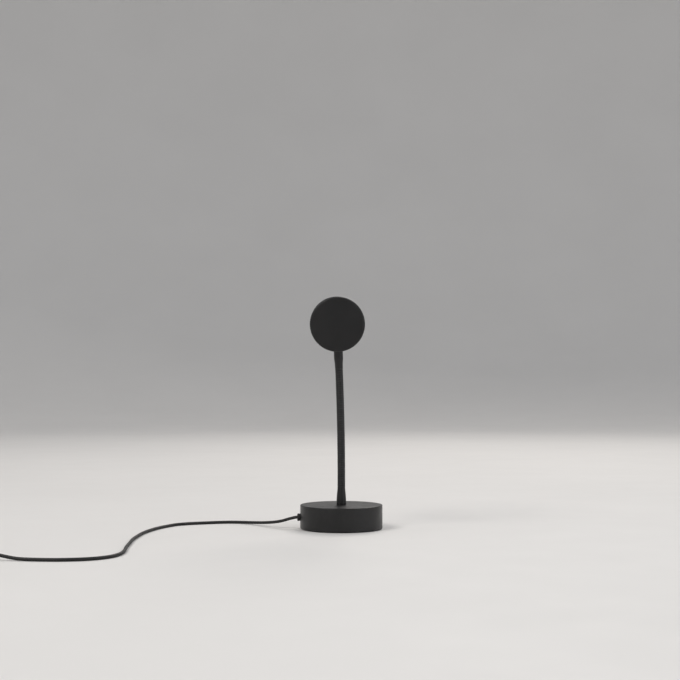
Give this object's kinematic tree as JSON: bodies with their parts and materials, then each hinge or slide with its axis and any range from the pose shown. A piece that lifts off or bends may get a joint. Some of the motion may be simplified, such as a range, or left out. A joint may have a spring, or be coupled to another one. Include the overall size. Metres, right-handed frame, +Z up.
{
  "type": "sunset projection lamp",
  "caption": "Small projection lamp: weighted round base, bendable gooseneck, round head with a lens and colour filter, and a USB lead with an inline push switch.",
  "frame": {"origin": "middle of the round base, on the surface that it stands on", "axes": "+Z up along the neck, +Y the way the head shines, +X to the right seen from behind the head; the lead leaves the base towards -X"},
  "size_m": [0.409, 0.371, 0.233],
  "materials": {
    "satin_black_paint": "satin",
    "neck_black": "satin",
    "anodised_black": "satin",
    "zinc_steel": "satin",
    "ballast_iron": "matte",
    "foot_foam": "matte",
    "soft_black_rubber": "matte",
    "board_laminate": "satin",
    "board_component": "matte",
    "wire_insulation": "gloss",
    "bright_aluminium": "satin",
    "white_led_board": "matte",
    "led_phosphor": "matte",
    "black_moulding": "matte",
    "clear_glass": "polished",
    "sunset_filter": "polished",
    "switch_plastic": "matte",
    "button_plastic": "satin",
    "contact_brass": "satin",
    "tie_plastic": "satin",
    "plug_moulding": "satin",
    "plug_metal": "satin",
    "plug_insulator": "satin"
  },
  "bodies": {
    "base": {"base_shell": "satin_black_paint", "base_plate": "zinc_steel", "foot_pad": "foot_foam", "ballast": "ballast_iron", "base_screws": "zinc_steel", "cord_grommet": "soft_black_rubber", "driver_board": "board_laminate", "driver_parts": "board_component", "board_screws": "zinc_steel", "supply_leads": "wire_insulation", "lamp_leads": "wire_insulation", "lower_ferrule": "satin_black_paint", "neck_washer": "zinc_steel", "neck_nut": "zinc_steel", "neck_wires": "wire_insulation", "neck_link_01": "neck_black", "cord_lead": "soft_black_rubber", "switch_lower": "switch_plastic", "switch_upper": "switch_plastic", "switch_spring": "zinc_steel", "switch_contacts": "contact_brass", "switch_screws": "zinc_steel", "cord_mid": "soft_black_rubber", "cord_coil": "soft_black_rubber", "cord_tail": "soft_black_rubber", "cord_tie": "tie_plastic", "plug_body": "plug_moulding", "plug_shell": "plug_metal", "plug_core": "plug_insulator"},
    "neck_02": {"neck_link_02": "neck_black"},
    "neck_03": {"neck_link_03": "neck_black"},
    "neck_04": {"neck_link_04": "neck_black"},
    "neck_05": {"neck_link_05": "neck_black"},
    "neck_06": {"neck_link_06": "neck_black"},
    "neck_07": {"neck_link_07": "neck_black"},
    "neck_08": {"neck_link_08": "neck_black"},
    "neck_09": {"neck_link_09": "neck_black"},
    "neck_10": {"neck_link_10": "neck_black"},
    "neck_11": {"neck_link_11": "neck_black"},
    "neck_12": {"neck_link_12": "neck_black"},
    "head": {"neck_link_13": "neck_black", "upper_ferrule": "satin_black_paint", "head_nut": "zinc_steel", "head_barrel": "anodised_black", "rear_cap": "anodised_black", "heat_plate": "bright_aluminium", "led_board": "white_led_board", "led_chip": "led_phosphor", "led_screws": "zinc_steel", "head_leads": "wire_insulation", "lens_holder": "black_moulding", "holder_screws": "zinc_steel", "condenser_lens": "clear_glass", "colour_filter": "sunset_filter", "filter_ring": "black_moulding", "projection_lens": "clear_glass", "lens_gasket": "soft_black_rubber", "front_bezel": "anodised_black"},
    "switch_button": {"switch_button": "button_plastic"}
  },
  "joints": [
    {"name": "fore_bend_1", "type": "hinge", "parent": "base", "child": "neck_02", "pos_m": [0, 0, 0.04688], "axis": [1, 0, 0], "range_deg": [-15, 15], "deforming": ["neck_wires"]},
    {"name": "side_bend_1", "type": "hinge", "parent": "neck_02", "child": "neck_03", "pos_m": [0, -0.00009, 0.05608], "axis": [0, 1, 0.0096], "range_deg": [-15, 15], "deforming": ["neck_wires"]},
    {"name": "fore_bend_2", "type": "hinge", "parent": "neck_03", "child": "neck_04", "pos_m": [-0.00006, -0.00018, 0.06528], "axis": [1, -0.0001, 0.007], "range_deg": [-15, 15]},
    {"name": "side_bend_2", "type": "hinge", "parent": "neck_04", "child": "neck_05", "pos_m": [-0.00013, -0.00035, 0.07448], "axis": [-0.0001, 0.9998, 0.0192], "range_deg": [-15, 15]},
    {"name": "fore_bend_3", "type": "hinge", "parent": "neck_05", "child": "neck_06", "pos_m": [-0.00026, -0.00053, 0.08368], "axis": [0.9999, -0.0002, 0.014], "range_deg": [-15, 15]},
    {"name": "side_bend_3", "type": "hinge", "parent": "neck_06", "child": "neck_07", "pos_m": [-0.00039, -0.00079, 0.09287], "axis": [-0.0002, 0.9996, 0.0288], "range_deg": [-15, 15]},
    {"name": "fore_bend_4", "type": "hinge", "parent": "neck_07", "child": "neck_08", "pos_m": [-0.00058, -0.00106, 0.10207], "axis": [0.9998, -0.0004, 0.0209], "range_deg": [-15, 15]},
    {"name": "side_bend_4", "type": "hinge", "parent": "neck_08", "child": "neck_09", "pos_m": [-0.00077, -0.00141, 0.11126], "axis": [-0.0004, 0.9993, 0.0384], "range_deg": [-15, 15]},
    {"name": "fore_bend_5", "type": "hinge", "parent": "neck_09", "child": "neck_10", "pos_m": [-0.00103, -0.00177, 0.12045], "axis": [0.9996, -0.0007, 0.0279], "range_deg": [-15, 15]},
    {"name": "side_bend_5", "type": "hinge", "parent": "neck_10", "child": "neck_11", "pos_m": [-0.00128, -0.00221, 0.12963], "axis": [-0.0007, 0.9988, 0.048], "range_deg": [-15, 15]},
    {"name": "fore_bend_6", "type": "hinge", "parent": "neck_11", "child": "neck_12", "pos_m": [-0.00161, -0.00265, 0.13882], "axis": [0.9994, -0.001, 0.0349], "range_deg": [-15, 15]},
    {"name": "side_bend_6", "type": "hinge", "parent": "neck_12", "child": "head", "pos_m": [-0.00193, -0.00318, 0.148], "axis": [-0.001, 0.9983, 0.0576], "range_deg": [-15, 15]},
    {"name": "button_press", "type": "slide", "parent": "base", "child": "switch_button", "axis": [0, 0, -1], "range_m": [0, 0.0012], "stiffness_N_per_m": 250, "springref_m": -0.002, "deforming": ["switch_spring"]}
  ],
  "couplings": [
    {"joint": "fore_bend_2", "follows": "fore_bend_1", "ratio": 1},
    {"joint": "side_bend_2", "follows": "side_bend_1", "ratio": 1},
    {"joint": "fore_bend_3", "follows": "fore_bend_1", "ratio": 1},
    {"joint": "side_bend_3", "follows": "side_bend_1", "ratio": 1},
    {"joint": "fore_bend_4", "follows": "fore_bend_1", "ratio": 1},
    {"joint": "side_bend_4", "follows": "side_bend_1", "ratio": 1},
    {"joint": "fore_bend_5", "follows": "fore_bend_1", "ratio": 1},
    {"joint": "side_bend_5", "follows": "side_bend_1", "ratio": 1},
    {"joint": "fore_bend_6", "follows": "fore_bend_1", "ratio": 1},
    {"joint": "side_bend_6", "follows": "side_bend_1", "ratio": 1}
  ]
}
